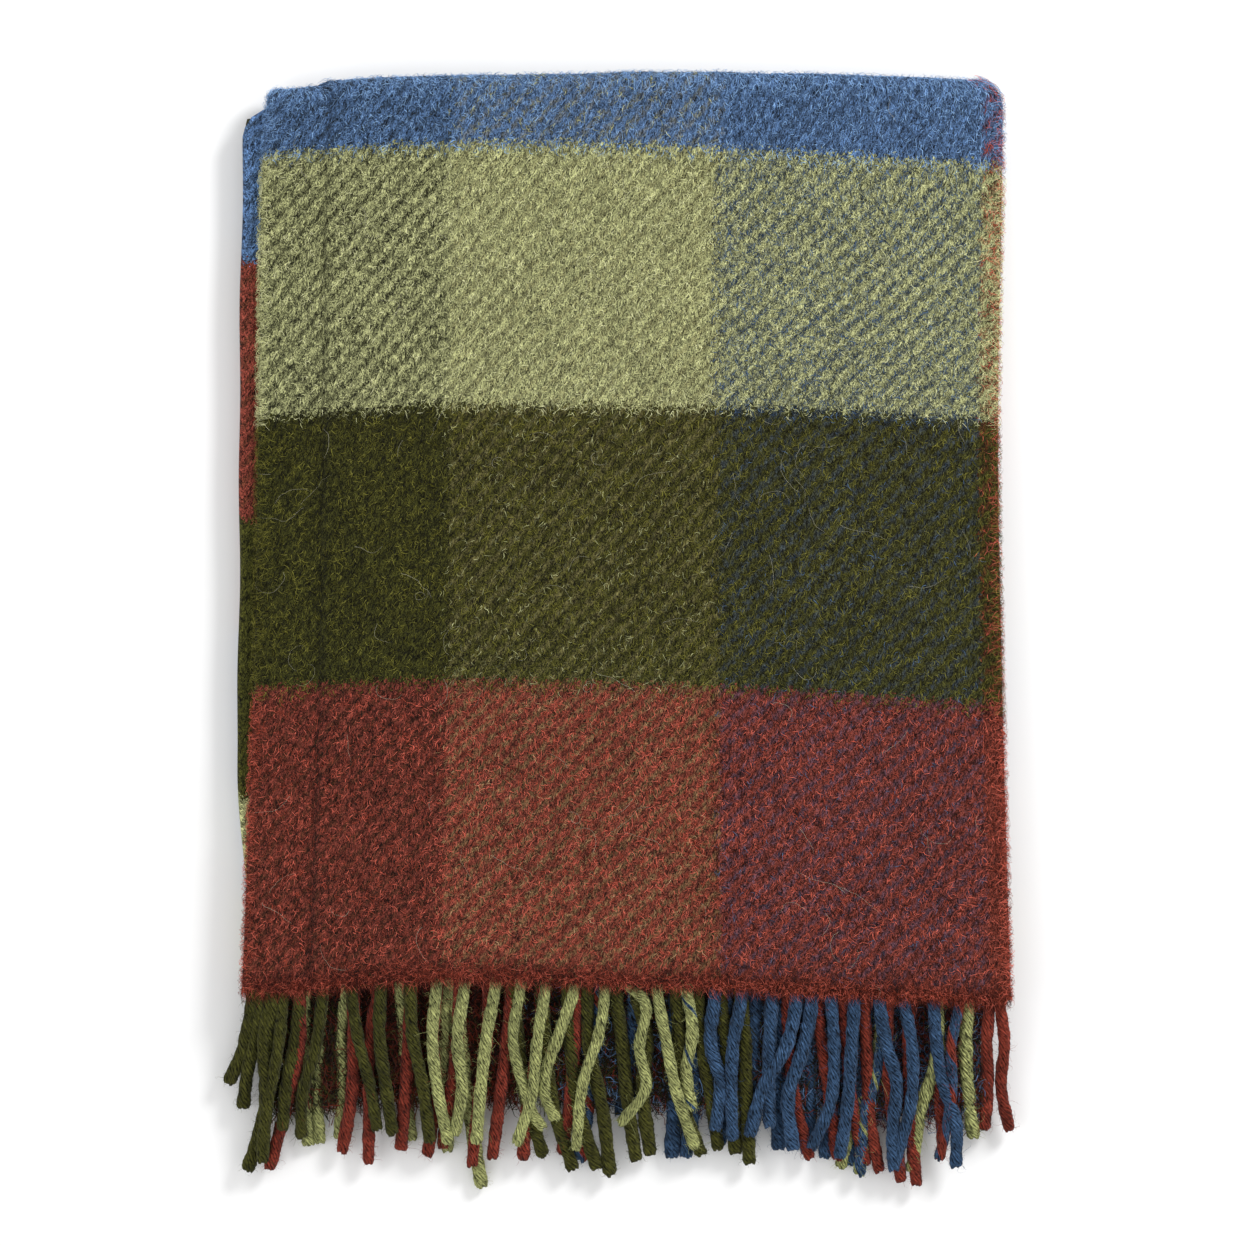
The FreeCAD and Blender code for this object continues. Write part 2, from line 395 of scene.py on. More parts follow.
def place(leaf, u, y, angle, out):
    """The point at u across a leaf's cloth and y along it, turned by angle round its fold."""
    x = across(u, "x") - LEAF_WIDTH / 2 + across(u, "nx") * out
    h = across(u, "h") + across(u, "nh") * out
    if leaf == "front_leaf":
        v = cloth_v(leaf, u, y, angle)
        turned = smooth(angle / math.pi)
        h = h + swell(u, v) * (1 - turned)
        radius = h + LEAF_GAP / 2
        z = TOP_CENTRE + radius * np.cos(angle)
        y = y + radius * np.sin(angle)
        top_x, top_y = lie_front(x + LEAF_SHIFT, y)
        low_x, low_y = lie_under(x - LEAF_SHIFT, y)
        x = top_x + (low_x - top_x) * turned
        y = top_y + (low_y - top_y) * turned
        return np.stack(np.broadcast_arrays(x, y, z), axis=-1)
    if leaf == "middle_leaf":
        z = LEAF_PITCH + LEAF_THICKNESS - h
    else:
        radius = LOW_CENTRE - h
        z = LOW_CENTRE - radius * np.cos(angle)
        y = y - radius * np.sin(angle)
    x, y = lie_under(x - LEAF_SHIFT, y)
    return np.stack(np.broadcast_arrays(x, y, z), axis=-1)


def cloth_v(leaf, u, y, angle):
    """v of the cloth there. Each layer is as long as its own way round the folds."""
    h = across(u, "h")
    top_radius = h + LEAF_GAP / 2
    low_radius = LOW_CENTRE - h
    flat = TOP_LINE - FRONT_EDGE
    if leaf == "front_leaf":
        return y - FRONT_EDGE + top_radius * angle
    if leaf == "middle_leaf":
        return flat + math.pi * top_radius + TOP_LINE - y
    before = flat + math.pi * top_radius + TOP_LINE - BOTTOM_LINE
    return before + low_radius * (math.pi - angle) + y - BOTTOM_LINE


def stations(leaf, pitch):
    """Where the rows of a leaf's mesh lie: y, share of the fold's half turn, share of thickness."""
    cut = np.array(CUT_ROUND)
    turn = np.concatenate([np.linspace(0, 0.5, 8)[1:], np.linspace(0.5, 1, 8)[:-1]])
    if leaf == "front_leaf":
        y = np.arange(FRONT_EDGE + pitch * 1.5, TOP_LINE - pitch * 0.5, pitch)
        flat = np.concatenate([FRONT_EDGE + cut, y, [TOP_LINE]])
        full = np.concatenate([ROUND_SHARES, np.ones(len(y) + 1)])
        y = np.concatenate([flat, np.full(len(turn) + 1, TOP_LINE)])
        turns = np.concatenate([np.zeros(len(flat)), turn, [1]])
        return y, turns, np.concatenate([full, np.ones(len(turn) + 1)])
    if leaf == "middle_leaf":
        y = np.linspace(TOP_LINE, BOTTOM_LINE, round((TOP_LINE - BOTTOM_LINE) / pitch))
        return y, np.zeros(len(y)), np.ones(len(y))
    y = np.arange(BOTTOM_LINE + pitch, BACK_EDGE - pitch * 1.5, pitch)
    flat = np.concatenate([[BOTTOM_LINE], y, BACK_EDGE - cut[::-1]])
    full = np.concatenate([np.ones(len(y) + 1), ROUND_SHARES[::-1]])
    y = np.concatenate([np.full(len(turn) + 1, BOTTOM_LINE), flat])
    turns = np.concatenate([[1], turn[::-1], np.zeros(len(flat))])
    return y, turns, np.concatenate([np.ones(len(turn) + 1), full])


# The rows next to the middle of a fold stay this far from it, and this much further for each
# metre of the bend's radius, so that each belongs to one leaf even when it is rounded off.
FOLD_CLEAR = 0.00007
FOLD_CLEAR_SLOPE = 0.03
LEAST_RADIUS = 0.00018


def fold_angle(leaf, u, share):
    """The angle for a share of the half turn. No row lies just where the fold's two halves meet."""
    h = across(u, "h")
    radius = h + LEAF_GAP / 2 if leaf == "front_leaf" else LOW_CENTRE - h
    inner = np.maximum(radius - CLOTH / 2, LEAST_RADIUS)
    clear = np.arcsin(np.minimum((FOLD_CLEAR + FOLD_CLEAR_SLOPE * radius) / inner, 0.9))
    half = math.pi / 2 - clear
    return np.where(share <= 0.5, 2 * share * half, math.pi - 2 * (1 - share) * half)


def mesh_object(name, vertices, faces, materials):
    """A mesh from arrays. faces is a list of arrays, each of faces with one number of corners."""
    mesh = bpy.data.meshes.new(name)
    corners = np.concatenate([f.ravel() for f in faces])
    sizes = np.concatenate([np.full(len(f), f.shape[1]) for f in faces])
    mesh.vertices.add(len(vertices))
    mesh.vertices.foreach_set("co", np.asarray(vertices, np.float32).ravel())
    mesh.loops.add(len(corners))
    mesh.loops.foreach_set("vertex_index", corners.astype(np.int32))
    mesh.polygons.add(len(sizes))
    starts = np.concatenate([[0], np.cumsum(sizes)[:-1]])
    mesh.polygons.foreach_set("loop_start", starts.astype(np.int32))
    mesh.update(calc_edges=True)
    mesh.polygons.foreach_set("use_smooth", np.ones(len(sizes), bool))
    for material in materials:
        mesh.materials.append(material)
    return add_object(name, mesh), corners


def add_uv(thing, name, corners, coordinates):
    layer = thing.data.uv_layers.new(name=name)
    layer.data.foreach_set("uv", coordinates[corners].astype(np.float32).ravel())


# The leaves that lie shut: the pitch of their rows, how much of the relief they have, and the most,
# so that they clear each other.
SHUT_PITCH = 0.0062
SHUT_RELIEF = 0.3
SHUT_RELIEF_MOST = 0.00008


def cloth_mesh(leaf, pitch, material):
    """One leaf's cloth, with the fold that it runs into, as a closed sheet."""
    y, turns, fullness = stations(leaf, pitch)
    u = SECTION["u"]
    uu, yy = np.meshgrid(u, y)
    share, full = turns[:, None] + 0 * uu, fullness[:, None] + 0 * uu
    hem = np.minimum(uu, CLOTH_WIDTH - uu)
    full = full * np.interp(hem, HEM_ROUND, ROUND_SHARES)
    angle = fold_angle(leaf, uu, share)
    angle = np.where(share == 0, 0, np.where(share == 1, math.pi, angle))
    v = cloth_v(leaf, uu, yy, angle)
    rough = relief(uu, v) * face_share(uu, 0.004)
    if leaf != "front_leaf":
        rough = np.minimum(rough * SHUT_RELIEF, SHUT_RELIEF_MOST)
    rough = rough * (1 - smooth(angle * 1.3 / math.pi))
    outer = place(leaf, uu, yy, angle, full * CLOTH / 2 + rough)
    inner = place(leaf, uu, yy, angle, -full * CLOTH / 2)
    rows, columns = uu.shape
    index = np.arange(rows * columns).reshape(rows, columns)
    a, b, c, d = index[:-1, :-1], index[:-1, 1:], index[1:, 1:], index[1:, :-1]
    top = np.stack([a, b, c, d], axis=-1).reshape(-1, 4)
    offset = rows * columns
    bottom = top[:, ::-1] + offset
    rim = np.concatenate([index[0, :], index[1:, -1], index[-1, -2::-1], index[-2:0:-1, 0]])
    after = np.roll(rim, -1)
    side = np.stack([rim, rim + offset, after + offset, after], axis=-1)
    vertices = np.concatenate([outer.reshape(-1, 3), inner.reshape(-1, 3)])
    faces = np.concatenate([top, bottom, side])
    if leaf == "middle_leaf":
        faces = faces[:, ::-1]
    thing, corners = mesh_object(f"{leaf}_cloth", vertices, [faces], [material])
    flat = np.stack([uu, v], axis=-1).reshape(-1, 2)
    add_uv(thing, "cloth", corners, np.concatenate([flat, flat]))
    return thing


# ---------------------------------------------------------------- materials


class Graph:
    """A short way to write a material's nodes."""

    def __init__(self, name):
        self.material = bpy.data.materials.new(name)
        self.material.use_nodes = True
        self.tree = self.material.node_tree
        self.shader = self.tree.nodes["Principled BSDF"]

    def feed(self, socket, value):
        if isinstance(value, bpy.types.NodeSocket):
            self.tree.links.new(value, socket)
        else:
            socket.default_value = value

    def fill(self, node, **inputs):
        """Set or link inputs of a node. Their names have _ for each space."""
        for key, value in inputs.items():
            self.feed(node.inputs[key.replace("_", " ")], value)

    def node(self, kind, settings=(), **inputs):
        node = self.tree.nodes.new(f"ShaderNode{kind}")
        for key, value in dict(settings).items():
            setattr(node, key, value)
        self.fill(node, **inputs)
        return node

    def math(self, operation, *values, kind="Math"):
        node = self.node(kind, {"operation": operation})
        for socket, value in zip(node.inputs, values):
            self.feed(socket, value)
        return node.outputs[0]

    def noise(self, vector, scale, detail=2.0, distortion=0.0):
        node = self.node(
            "TexNoise", Vector=vector, Scale=scale, Detail=detail, Distortion=distortion
        )
        return node.outputs["Fac"]

    def mapped(self, vector, turn, stretch, shift=(0, 0, 0)):
        turned = self.node("VectorRotate", {"rotation_type": "Z_AXIS"}, Vector=vector, Angle=turn)
        node = self.node("Mapping", Vector=turned.outputs[0], Scale=stretch, Location=shift)
        return node.outputs[0]

    def remap(self, value, low, high, to_low, to_high):
        ends = {"From_Min": low, "From_Max": high, "To_Min": to_low, "To_Max": to_high}
        return self.node("MapRange", Value=value, **ends).outputs[0]

    def mix(self, share, a, b):
        node = self.node("Mix", {"data_type": "RGBA"})
        self.feed(node.inputs[0], share)
        self.feed(node.inputs[6], a)
        self.feed(node.inputs[7], b)
        return node.outputs[2]

    def scaled(self, colour, factor):
        """The colour times a number that varies over the surface."""
        colour = colour[:3] if isinstance(colour, tuple) else colour
        node = self.node("VectorMath", {"operation": "SCALE"}, Vector=colour, Scale=factor)
        return node.outputs[0]

    def stripes(self, value, ends, colours):
        """A colour ramp with hard steps at the ends."""
        length = ends[-1][0]
        node = self.node("ValToRGB", Fac=self.math("DIVIDE", value, length))
        ramp = node.color_ramp
        ramp.interpolation = "CONSTANT"
        start = 0.0
        for i, (end, colour) in enumerate(ends):
            element = ramp.elements[i] if i < len(ramp.elements) else ramp.elements.new(start)
            element.position = start / length
            element.color = (*colours[colour], 1)
            start = end
        return node.outputs["Color"]

    def wool(self, colour, height, bump):
        node = self.node("Bump", Height=height, Strength=1.0, Distance=bump)
        self.fill(self.shader, Base_Color=colour, Normal=node.outputs[0])
        self.fill(self.shader, Roughness=0.95, Specular_IOR_Level=0.04)
        self.fill(self.shader, Sheen_Weight=0.05, Sheen_Roughness=0.6)
        return self.material


# v in the middle of the bottom fold, and how far either side of it the cloth is drawn out when
# the fold opens. The pattern there is as much closer, so that it has its own scale when open.
BOTTOM_BEND = float(cloth_v("back_leaf", CLOTH_WIDTH / 2, BOTTOM_LINE, math.pi / 2))
DRAWN_OUT = 0.0013
DRAWN_LENGTH = 2 * LEAF_PITCH - 2 * DRAWN_OUT


def rgba(colour, factor=1.0):
    return (*[min(1.0, channel * factor) for channel in colour], 1)


# How far the colours of two yarns run into each other where they meet.
SPILL = 0.0042
CLOTH_BUMP = 0.0022
YARN_BUMP = 0.0006


def checked_wool(name, gain):
    """Brushed twill: weft and warp colours by place, flecks of warp in diagonals, and nap."""
    g = Graph(name)
    flat = g.node("UVMap", {"uv_map": "cloth"}).outputs[0]
    flat_v = g.node("SeparateXYZ", Vector=flat).outputs["Y"]
    drawn = g.remap(flat_v, BOTTOM_BEND - DRAWN_OUT, BOTTOM_BEND + DRAWN_OUT, 0, DRAWN_LENGTH)
    further = g.node("CombineXYZ", Y=drawn).outputs[0]
    uv = g.math("ADD", flat, further, kind="VectorMath")
    wander = g.node("TexNoise", Vector=uv, Scale=140.0, Detail=2.0).outputs["Color"]
    wander = g.math("SUBTRACT", wander, (0.5, 0.5, 0.5), kind="VectorMath")
    moved = g.math("MULTIPLY_ADD", wander, (SPILL, SPILL, 0), uv, kind="VectorMath")
    parts = g.node("SeparateXYZ", Vector=moved)
    u, v = parts.outputs["X"], parts.outputs["Y"]

    fuzz = g.noise(uv, 480.0, 2.0, 0.6)
    spill = g.remap(fuzz, 0.3, 0.7, -SPILL, SPILL)
    band = g.math("SUBTRACT", g.math("ADD", v, spill), drawn)
    weft = g.stripes(band, WEFT_BANDS, YARNS)
    beside = g.math("ADD", u, g.math("MULTIPLY", spill, 0.6))
    warp = g.stripes(beside, WARP_STRIPES, WARP_SHOWN)

    across_repeat = g.math("DIVIDE", u, 4 * WARP_PITCH)
    repeat = g.math("SUBTRACT", across_repeat, g.math("DIVIDE", v, 4 * WEFT_PITCH))
    twill = g.math("COSINE", g.math("MULTIPLY", repeat, math.tau))
    ends = g.math("COSINE", g.math("MULTIPLY", u, math.tau / WARP_PITCH))
    uneven = g.noise(uv, 260.0, 2.0)
    show = g.math("ADD", twill, g.math("MULTIPLY", ends, 0.35))
    show = g.math("ADD", show, g.remap(uneven, 0.32, 0.68, -0.95, 0.95))
    fleck = g.remap(show, -0.45, 1.35, 0.05, 0.54)
    ground = g.mix(fleck, weft, warp)

    nap_a = g.noise(g.mapped(uv, math.radians(-62), (240, 980, 1)), 1.0, 2.0, 1.5)
    nap_b = g.noise(g.mapped(uv, math.radians(-100), (280, 900, 1), (9, 4, 0)), 1.0, 2.0, 1.5)
    nap_c = g.noise(uv, 1150.0, 1.0)
    nap = g.math("ADD", g.math("MULTIPLY", nap_a, 0.42), g.math("MULTIPLY", nap_b, 0.30))
    nap = g.math("ADD", nap, g.math("MULTIPLY", nap_c, 0.28))
    # The nap's tones are partly the wool's own uneven tone and partly painted shade in the gaps
    # between its fibres.
    shade = g.math("POWER", g.remap(nap, 0.40, 0.625, 0.12, 1.55), 1.5)
    cloudy = g.remap(g.noise(uv, 17.0, 2.0), 0.3, 0.7, 0.92, 1.08)
    shade = g.math("MULTIPLY", g.math("MULTIPLY", shade, cloudy), gain)
    colour = g.scaled(ground, shade)
    height = g.math("ADD", nap, g.math("MULTIPLY", twill, -0.03))
    return g.wool(colour, height, CLOTH_BUMP)


def fibre_wool(name, colour, tone=1.0, painted_glint=0.0):
    """Loose fibres of one colour and tone. They are too thin to show any pattern of their own."""
    g = Graph(name)
    # The glint is grey added to the colour: a painted highlight.
    shade = rgba([channel * tone + painted_glint for channel in colour])
    g.fill(g.shader, Base_Color=shade, Roughness=0.85, Specular_IOR_Level=0.08, Sheen_Weight=0.06)
    return g.material


def fibre_shades(name, colour, tones):
    return [
        fibre_wool(f"{name}_fibre_{i}", colour, tone, painted_glint * PAINTED_GLINT_GAIN.get(name, 1))
        for i, (tone, painted_glint) in enumerate(zip(tones, PAINTED_FIBRE_GLINT))
    ]


def yarn_wool(name, colour):
    """Twisted yarn: fibres along the strand, with painted shade in the grooves between the strands.
    """
    g = Graph(name)
    uv = g.node("UVMap", {"uv_map": "yarn"}).outputs[0]
    parts = g.node("SeparateXYZ", Vector=uv)
    wander = g.noise(g.node("Mapping", Vector=uv, Scale=(7, 190, 1)).outputs[0], 1.0, 2.0)
    around = g.math("ADD", parts.outputs["X"], g.remap(wander, 0.3, 0.7, -0.045, 0.045))
    strands = g.math("COSINE", g.math("MULTIPLY", around, math.tau * STRANDS))
    # Painted shade: the colour is darkened in the grooves between the strands.
    groove_shade = g.remap(strands, -1.0, 0.35, 1.0, 0.0)
    broken = g.noise(g.node("Mapping", Vector=uv, Scale=(11, 330, 1)).outputs[0], 1.0, 2.0)
    groove_shade = g.math("MULTIPLY", groove_shade, g.remap(broken, 0.36, 0.60, 0.05, 0.92))
    groove_shade = g.math("SUBTRACT", 1.0, groove_shade)
    where = g.node("TexCoord").outputs["Object"]
    fibres = g.noise(g.node("Mapping", Vector=uv, Scale=(38, 260, 1)).outputs[0], 1.0, 2.0, 0.8)
    tone = g.remap(fibres, 0.36, 0.64, 0.35, 1.65)
    cloudy = g.remap(g.noise(where, 60.0, 1.0), 0.3, 0.7, 0.76, 1.24)
    shade = g.math("MULTIPLY", g.math("MULTIPLY", groove_shade, tone), cloudy)
    colour = g.scaled(rgba(colour, 1.15), shade)
    height = g.math("ADD", g.math("MULTIPLY", strands, 0.5), fibres)
    return g.wool(colour, height, YARN_BUMP)


# ---------------------------------------------------------------- loose fibres

FIBRE_SIDES = 3


def fibre_bundle(paths, radii):
    """Closed thin tubes along paths (fibres, points, 3), tapering to a point at their ends."""
    count, steps, _ = paths.shape
    tangent = unit(np.gradient(paths, axis=1), 1e-12)
    aside = unit(np.cross(tangent, np.array([0.31, 0.17, 0.93])), 1e-12)
    over = np.cross(tangent, aside)
    rings = steps - 1
    taper = np.linspace(1, 0.45, rings)[None, :, None]
    vertices = []
    for side in range(FIBRE_SIDES):
        turn = math.tau * side / FIBRE_SIDES
        away = aside * math.cos(turn) + over * math.sin(turn)
        vertices.append(paths[:, :rings] + away[:, :rings] * taper * radii[:, None, None])
    ring = np.stack(vertices, axis=2).reshape(count, rings * FIBRE_SIDES, 3)
    vertices = np.concatenate([ring, paths[:, -1:]], axis=1)
    size = rings * FIBRE_SIDES + 1
    quads, triangles = [], []
    for step in range(rings - 1):
        for side in range(FIBRE_SIDES):
            a, b = step * FIBRE_SIDES + side, step * FIBRE_SIDES + (side + 1) % FIBRE_SIDES
            quads.append((a, b, b + FIBRE_SIDES, a + FIBRE_SIDES))
    last = (rings - 1) * FIBRE_SIDES
    for side in range(FIBRE_SIDES):
        triangles.append((last + side, last + (side + 1) % FIBRE_SIDES, size - 1))
    triangles.append((2, 1, 0))
    start = (np.arange(count) * size)[:, None, None]
    quads = (np.array(quads)[None] + start).reshape(-1, 4)
    triangles = (np.array(triangles)[None] + start).reshape(-1, 3)
    return vertices.reshape(-1, 3), [quads, triangles]


def curl(count, lengths, points, bend, heading, spread, forward=0.5):
    """Random curling lines in the plane: offsets (count, points, 2) from their roots."""
    length = random.uniform(*lengths, count)
    direction = np.where(random.random(count) < forward, 0, math.pi) + heading
    direction = direction + random.normal(0, spread, count)
    turn = random.normal(0, bend, count)[:, None] * np.linspace(0, 1, points - 1)[None]
    turn = turn + random.normal(0, bend * 1.4 / points, (count, points - 1)).cumsum(axis=1)
    angle = direction[:, None] + turn
    step = (length / (points - 1))[:, None]
    offsets = np.stack([np.cos(angle) * step, np.sin(angle) * step], axis=-1).cumsum(axis=1)
    return np.concatenate([np.zeros((count, 1, 2)), offsets], axis=1)


# How deep the fibres' roots are in the cloth, how far their arch goes round in its length, and the
# most that a fibre follows the top fold.
ROOT_DEPTH = 0.0002
ARCH_TURN = 2.4
FOLLOWED = 2.6


def nap_paths(u, v, lengths, rise, points=4, bend=1.2, heading=1.05, spread=0.75, forward=0.5):
    """Fibres that leave the top leaf's outer side at (u, v) and lie down over it."""
    offsets = curl(len(u), lengths, points, bend, heading, spread, forward)
    height = random.uniform(0.35, 1.0, len(u))[:, None] * rise
    out = CLOTH / 2 - ROOT_DEPTH + np.sin(np.linspace(0, 1, points) * ARCH_TURN)[None] * height
    uu = u[:, None] + offsets[..., 0]
    yy = (FRONT_EDGE + v)[:, None] + offsets[..., 1]
    over = np.maximum(yy - TOP_LINE, 0)
    angle = over / (across(uu, "h") + LEAF_GAP / 2 + CLOTH / 2)
    past = np.maximum(FRONT_EDGE - yy, 0)
    out = out - past * FRINGE_SLOPE
    return place("front_leaf", uu, np.minimum(yy, TOP_LINE), np.minimum(angle, FOLLOWED), out)


# The nap reaches a little way round the top fold, where it catches more light; its fibres there are
# painted a tone lighter, a painted highlight.
NAP_END = 0.592
LIT_FROM = 0.572
FRINGE_SLOPE = 0.1
# Fibres for each square metre of the face, at each side, at the top and at the cut edge.
NAP_PER_AREA = 420000
SIDE_NAP = 5000
TOP_NAP = 2000
CUT_NAP = 12000
CUT_SHARES = (0.40, 0.33, 0.17, 0.10)
# Width and length of the small tufts and of the large ones, which count for less.
TUFT = (0.0010, 0.0018)
LARGE_TUFT = (0.0035, 0.0050)
LARGE_TUFT_SHARE = 0.25
# Half the width of the band of painted shade along the crease over the right flap's hem, where the
# fibres are darker, and how uneven its edge is.
CREASE_SHADE_HALF = 0.0035
CREASE_SHADE_SPREAD = 0.0018
# How much of the face the warp has in each weft colour, and how many of its fibres are left. The
# first is for most warps.
FLECKS = {
    "light_green": (0.54, 0.95),
    "blue": (0.28, 0.60),
    "dark_green": (0.28, 0.28),
    "red": (0.28, 0.32),
}
BLUE_FLECKS = {
    "light_green": (0.68, 1.00),
    "blue": (0.28, 0.60),
    "dark_green": (0.28, 0.15),
    "red": (0.28, 0.18),
}
RED_FLECKS = {
    "light_green": (0.60, 0.95),
    "blue": (0.50, 0.90),
    "dark_green": (0.40, 0.60),
    "red": (0.28, 0.60),
}
STRAYS = 120


def face_checks():
    checks = []
    v = 0.0
    for weft_end, weft in WEFT_BANDS:
        if v >= NAP_END:
            break
        u = 0.0
        for warp_end, warp in WARP_STRIPES:
            low, high = max(u, FACE_START - 0.004), min(warp_end, FACE_END + 0.004)
            if high > low:
                checks.append((weft, warp, v, min(weft_end, NAP_END), low, high))
            u = warp_end
        v = weft_end
    return checks


def warp_shows(u, v, share):
    """Where the warp comes to the face of the twill, unevenly."""
    show = diagonals(u, v) + 0.35 * np.cos(math.tau * u / WARP_PITCH)
    show = show + random.normal(0, 0.32, len(u))
    return show > np.quantile(show, 1 - share)


def spread_evenly(values):
    """The values' places in their order, as shares of the way from the least to the most."""
    return values.argsort().argsort() / len(values)


def clumps(u, v, wide, long):
    """Numbers from 0 to 1, evenly spread, that are alike for fibres of the same tuft."""
    x, y = (u - u.min()) / wide, (v - v.min()) / long
    table = random.random((int(x.max()) + 2, int(y.max()) + 2))
    i, j = x.astype(int), y.astype(int)
    fx, fy = smooth(x - i), smooth(y - j)
    low = table[i, j] * (1 - fx) + table[i + 1, j] * fx
    high = table[i, j + 1] * (1 - fx) + table[i + 1, j + 1] * fx
    value = low * (1 - fy) + high * fy + random.normal(0, 0.17, len(u))
    return spread_evenly(value)


def tone_of(share, shares):
    """The tone for each share of the way from the darkest fibres to the lightest."""
    return np.minimum(np.searchsorted(np.cumsum(shares), share), len(shares) - 1)


def tone_shares(weft, warp):
    """The share of each tone among the weft's fibres in a check."""
    if warp == "light_green" and weft in ("red", "light_green"):
        return BRIGHT_FIBRE_SHARES
    return DEEP_FIBRE_SHARES if weft == "red" else FIBRE_SHARES


def check_nap(weft, warp, v0, v1, u0, u1):
    """The nap of one check: the path, radius and tone of each fibre."""
    count = int(NAP_PER_AREA * (v1 - v0) * (u1 - u0))
    u = random.uniform(u0, u1, count)
    v = random.uniform(v0, v1, count)
    share, left = {"blue": BLUE_FLECKS, "red": RED_FLECKS}.get(warp, FLECKS)[weft]
    of_warp = warp_shows(u, v, share)
    kept = ~of_warp | (random.random(count) < left)
    u, v, of_warp, count = u[kept], v[kept], of_warp[kept], int(kept.sum())
    tuft = clumps(u, v, *TUFT) + LARGE_TUFT_SHARE * clumps(u, v, *LARGE_TUFT)
    tuft = spread_evenly(tuft)
    tones = tone_of(tuft, tone_shares(weft, warp))
    # Painted highlight: fibres round the top fold are one tone lighter.
    tones = np.minimum(tones + (v > LIT_FROM), TONES - 1)
    # Painted shade: fibres along that crease are one or two tones darker.
    from_step = np.abs(across(u, "x") - sum(STEP) / 2 + random.normal(0, CREASE_SHADE_SPREAD, count))
    darker = np.maximum(tones - random.integers(1, 3, count), 0)
    tones = np.where(from_step < CREASE_SHADE_HALF, darker, tones)
    shares = WARP_FIBRE_SHARES["felted" if warp == "light_green" and weft in FELTED else warp]
    tones = np.where(of_warp, TONES + tone_of(tuft, shares), tones)
    v = np.clip(v + random.normal(0, 0.0012, count), 0, NAP_END)
    u = u + random.normal(0, 0.0006, count)
    paths = nap_paths(u, v, (0.0026, 0.0068), 0.0009, heading=1.35, spread=0.7)
    return paths, random.uniform(0.00012, 0.00027, count), tones


def colours_along(v):
    """For each v, the number of its weft colour in COLOURS."""
    ends = [end for end, _ in WEFT_BANDS]
    order = np.array([COLOURS.index(colour) for _, colour in WEFT_BANDS])
    return order[np.searchsorted(ends, v)]


def edge_nap():
    """The fibres that stand out past the folds at the sides and at the top, painted lighter for the
    light they catch at the edges.
    """
    inward = np.abs(random.normal(0, 0.0025, 2 * SIDE_NAP))
    left, right = FACE_START - 0.003, FACE_END + 0.003
    u = np.concatenate([left + inward[:SIDE_NAP], right - inward[SIDE_NAP:]])
    v = random.uniform(0, NAP_END, 2 * SIDE_NAP)
    sides = nap_paths(u, v, (0.003, 0.010), 0.0040, heading=0.4, spread=1.3)
    top_u = random.uniform(FACE_START, FACE_END, TOP_NAP)
    top_v = random.uniform(LIT_FROM - 0.004, NAP_END, TOP_NAP)
    top = nap_paths(top_u, top_v, (0.003, 0.007), 0.0028, spread=1.3)
    count = len(u) + TOP_NAP
    colours = colours_along(np.concatenate([v, top_v]))
    at_right = np.arange(count) // SIDE_NAP == 1
    colours = np.where(at_right & (random.random(count) < 0.45), RED, colours)
    # Painted light: these fibres never take the darkest tone.
    tones = TONES * colours + random.integers(1, TONES, count)
    return np.concatenate([sides, top]), random.uniform(0.00010, 0.00018, count), tones


def cut_nap():
    """The fibres that hang over the front cut edge, and over the roots of its tassels."""
    u = random.uniform(FACE_START, FACE_END, CUT_NAP)
    v = np.abs(random.normal(0, 0.0036, CUT_NAP))
    towards = {"heading": math.pi / 2, "spread": 0.7, "forward": 0.2}
    paths = nap_paths(u, v, (0.003, 0.0145), 0.0018, **towards)
    tones = TONES * RED + random.choice(TONES, CUT_NAP, p=CUT_SHARES)
    return paths, random.uniform(0.00009, 0.00018, CUT_NAP), tones


def stray_hairs():
    """Long pale hairs lying on the nap in loops."""
    u = random.uniform(FACE_START, FACE_END, STRAYS)
    v = random.uniform(0.004, 0.58, STRAYS)
    paths = nap_paths(u, v, (0.012, 0.038), 0.0020, points=14, bend=2.0, spread=1.5)
    return paths, random.uniform(0.00006, 0.00010, STRAYS), np.zeros(STRAYS, int)


def nap_object(name, parts, materials, body="front_leaf"):
    """Fibres as one piece, each with the material that its number says."""
    paths, radii, tones = parts
    vertices, faces = fibre_bundle(paths, radii)
    nap, _ = mesh_object(name, vertices, faces, materials)
    numbers = np.concatenate([np.repeat(tones, len(f) // len(paths)) for f in faces])
    nap.data.polygons.foreach_set("material_index", numbers.astype(np.int32))
    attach(nap, body)
    return nap


# ---------------------------------------------------------------- tassels

# Strands in a tassel, the length of one turn of its twist, and the points round it and along it
# in the front fringe and in the back one.
STRANDS = 10
TWIST = 0.033
FRONT_FINE = {"around": 40, "rings": 80}
BACK_FINE = {"around": 12, "rings": 36}
# How far the grooves go in between the strands and between the two yarn groups, how thin a tassel
# is at its root and over what length, and how thin at its tip.
GROOVE = 0.19
WAIST = 0.06
ROOT_THIN = 0.50
ROOT_LENGTH = 0.013
TIP_SHARE = 0.78
# Height of the roots and of the tips of the front fringe's three rows, from the top one down.
ROW_HEIGHTS = [(0.0302, 0.0185), (0.0266, 0.0112), (0.0226, 0.0053)]
ROW_OF = {
    ("right_flap", "red"): 1,
    ("right_flap", "dark_green"): 1,
    ("right_flap", "light_green"): 2,
    ("left_flap", "light_green"): 2,
    ("left_flap", "blue"): 2,
    ("left_flap", "red"): 1,
    ("left_flap", "dark_green"): 1,
}
# Single tassels, by their order in the layer, that lie in another row than their stripe.
UPPER_ONES = {("left_flap", 0): 1, ("left_flap", 1): 1, ("left_flap", 3): 1}
WIDTHS = {"blue": 0.0044, "light_green": 0.0039, "dark_green": 0.0041, "red": 0.0037}


